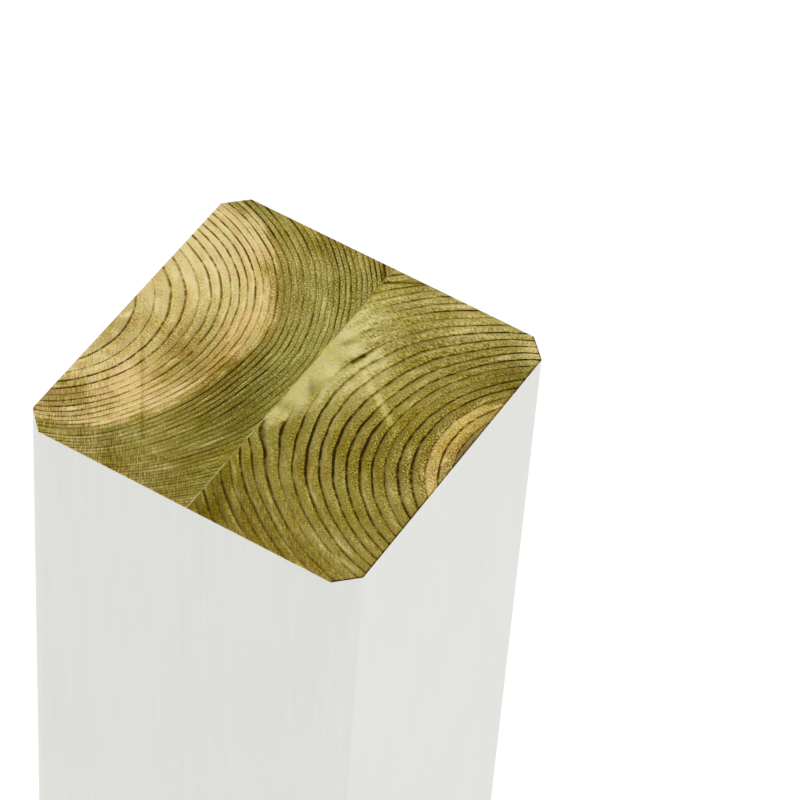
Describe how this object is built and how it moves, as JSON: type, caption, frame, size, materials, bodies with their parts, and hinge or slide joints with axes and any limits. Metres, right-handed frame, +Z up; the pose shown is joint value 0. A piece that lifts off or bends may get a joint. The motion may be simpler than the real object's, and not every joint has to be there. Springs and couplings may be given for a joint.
{
  "type": "laminated timber post",
  "caption": "Square softwood post glued from lamellas, with chamfered edges, white painted sides and bare sawn ends; carries fences, rails and light roofs.",
  "frame": {"origin": "centre of the post's square foot, on the surface that it stands on", "axes": "+Z up along the grain; +X across the glue line, from the left lamella to the right one; +Y along the glue line, towards the back"},
  "size_m": [0.09, 0.09, 1],
  "materials": {
    "painted_pine": "matt white paint on planed softwood, bare olive-green treated end grain at the saw cuts",
    "cured_glue": "thin cured adhesive film, pale green at its edge"
  },
  "bodies": {
    "root": {"left_lamella": "painted_pine", "right_lamella": "painted_pine", "glue_line": "cured_glue"}
  },
  "joints": []
}
